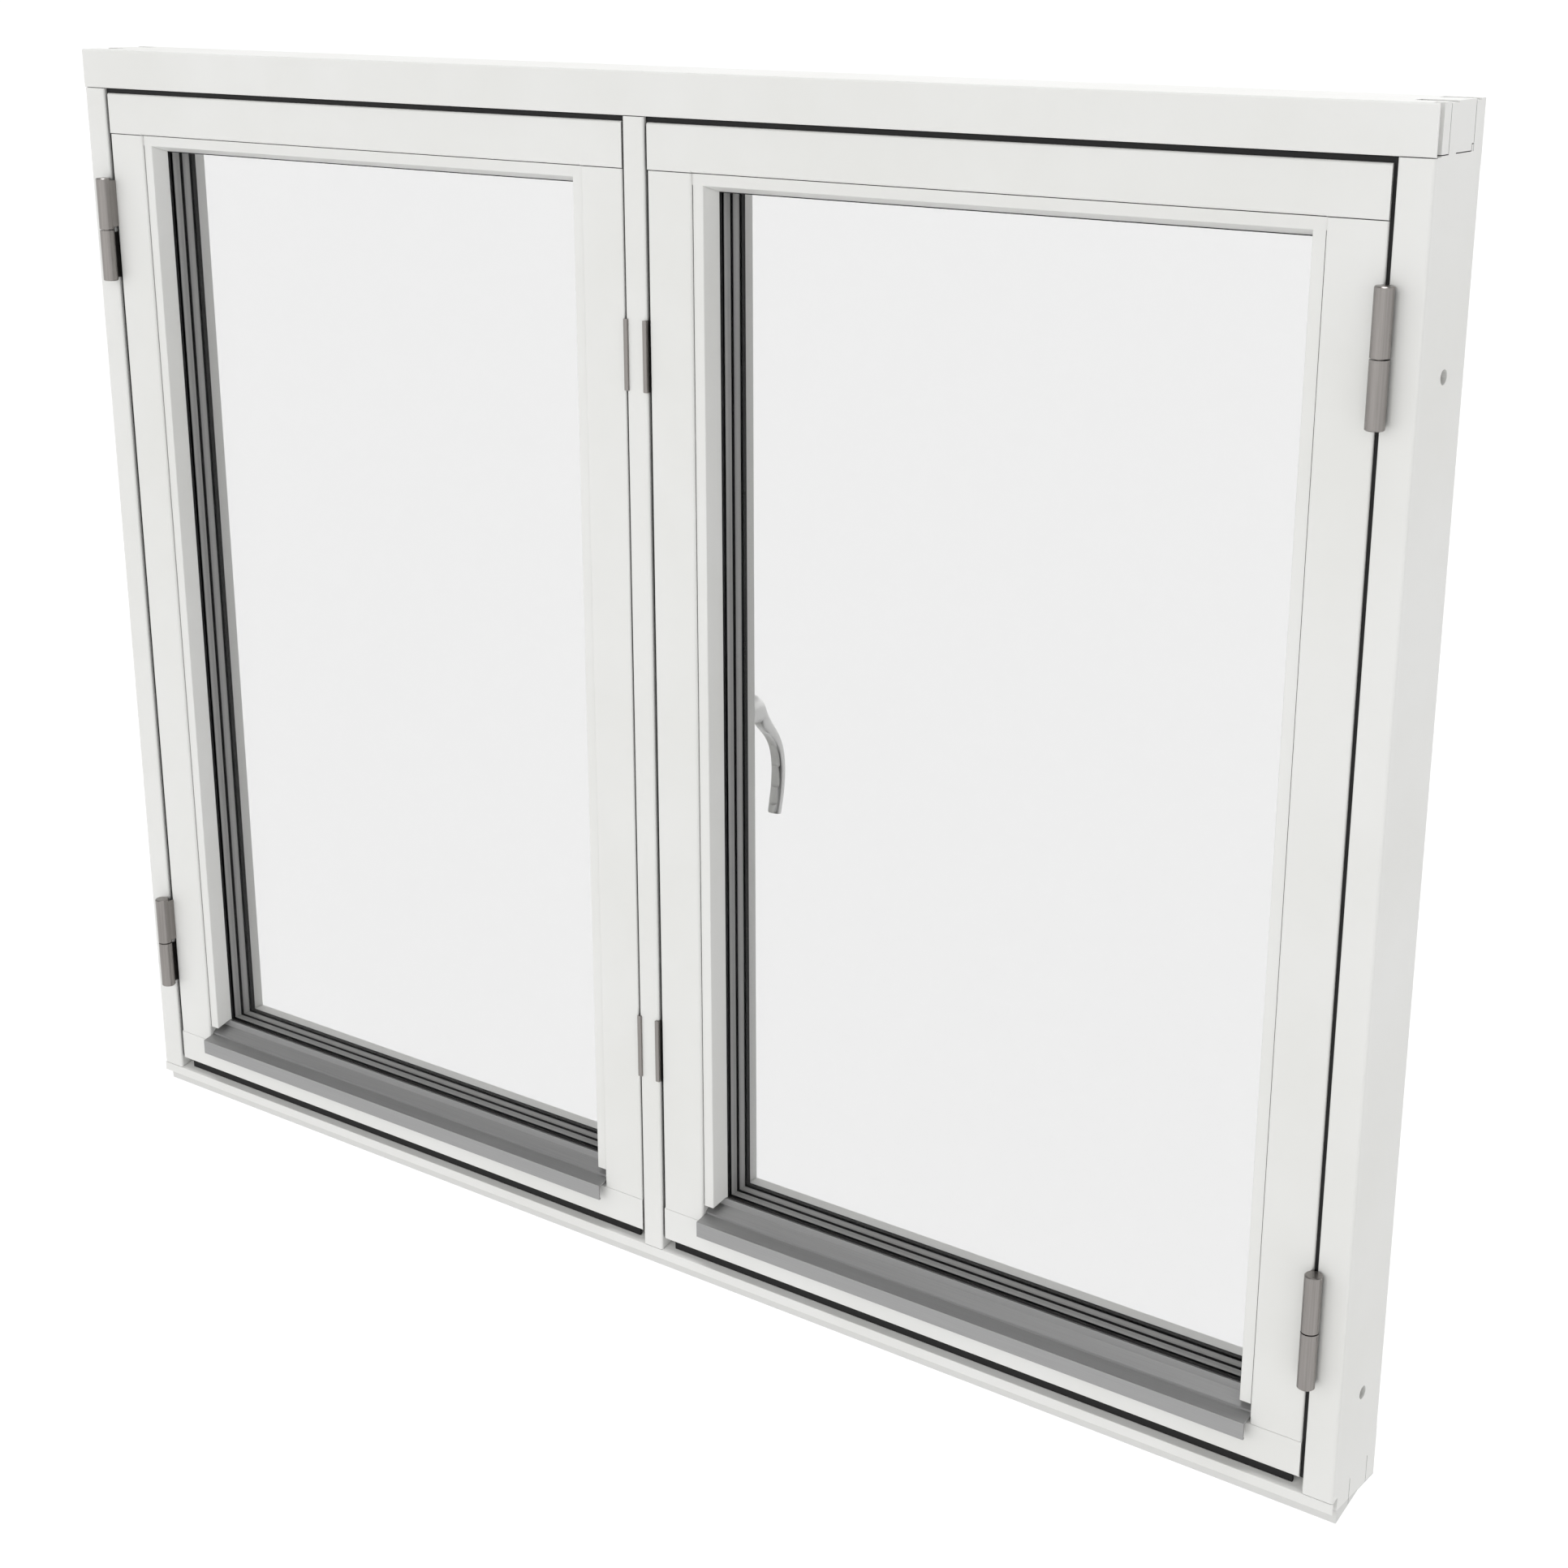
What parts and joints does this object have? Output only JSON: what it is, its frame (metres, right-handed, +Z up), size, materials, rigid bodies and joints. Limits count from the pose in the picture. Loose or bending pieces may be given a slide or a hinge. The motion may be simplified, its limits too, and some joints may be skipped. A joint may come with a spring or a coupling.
{
  "type": "casement window",
  "caption": "Painted timber casement window with side-hung sashes that open outwards, triple glazing, lift-off hinges, aluminium drip beads and lever handles on the inside.",
  "frame": {"origin": "middle of the level seat under the sill, halfway along the window", "axes": "+X to the right as seen from outside, -Y to the outside, +Z up"},
  "size_m": [1.78, 0.1825, 1.394],
  "materials": {
    "white_paint": "satin white paint",
    "clear_glass": "clear",
    "spacer_grey": "matt grey",
    "black_seal": "matt black",
    "bead_aluminium": "natural anodised",
    "hinge_steel": "satin zinc plated",
    "handle_aluminium": "satin silver"
  },
  "bodies": {
    "window": {"frame_head": "white_paint", "frame_sill": "white_paint", "frame_left_jamb": "white_paint", "frame_right_jamb": "white_paint", "frame_mullion": "white_paint", "right_sash_top_rail": "white_paint", "right_sash_bottom_rail": "white_paint", "right_sash_lock_stile": "white_paint", "right_sash_hinge_stile": "white_paint", "right_top_bead": "white_paint", "right_lock_side_bead": "white_paint", "right_hinge_side_bead": "white_paint", "right_aluminium_bead": "bead_aluminium", "right_panes": "clear_glass", "right_spacers": "spacer_grey", "right_glazing_seals": "black_seal", "right_weather_seals": "black_seal", "right_hinge_frame_halves": "hinge_steel", "right_hinge_sash_halves": "hinge_steel", "right_keep_plates": "hinge_steel", "right_handle_base": "handle_aluminium", "left_sash_top_rail": "white_paint", "left_sash_bottom_rail": "white_paint", "left_sash_lock_stile": "white_paint", "left_sash_hinge_stile": "white_paint", "left_top_bead": "white_paint", "left_lock_side_bead": "white_paint", "left_hinge_side_bead": "white_paint", "left_aluminium_bead": "bead_aluminium", "left_panes": "clear_glass", "left_spacers": "spacer_grey", "left_glazing_seals": "black_seal", "left_weather_seals": "black_seal", "left_hinge_frame_halves": "hinge_steel", "left_hinge_sash_halves": "hinge_steel", "left_keep_plates": "hinge_steel", "left_handle_base": "handle_aluminium", "left_handle_lever": "handle_aluminium"},
    "right_handle": {"right_handle_lever": "handle_aluminium"}
  },
  "joints": [
    {"name": "right_handle_turn", "type": "hinge", "parent": "window", "child": "right_handle", "pos_m": [0.0735, 0.016, 0.677], "axis": [0, -1, 0], "range_deg": [0, 90]}
  ]
}
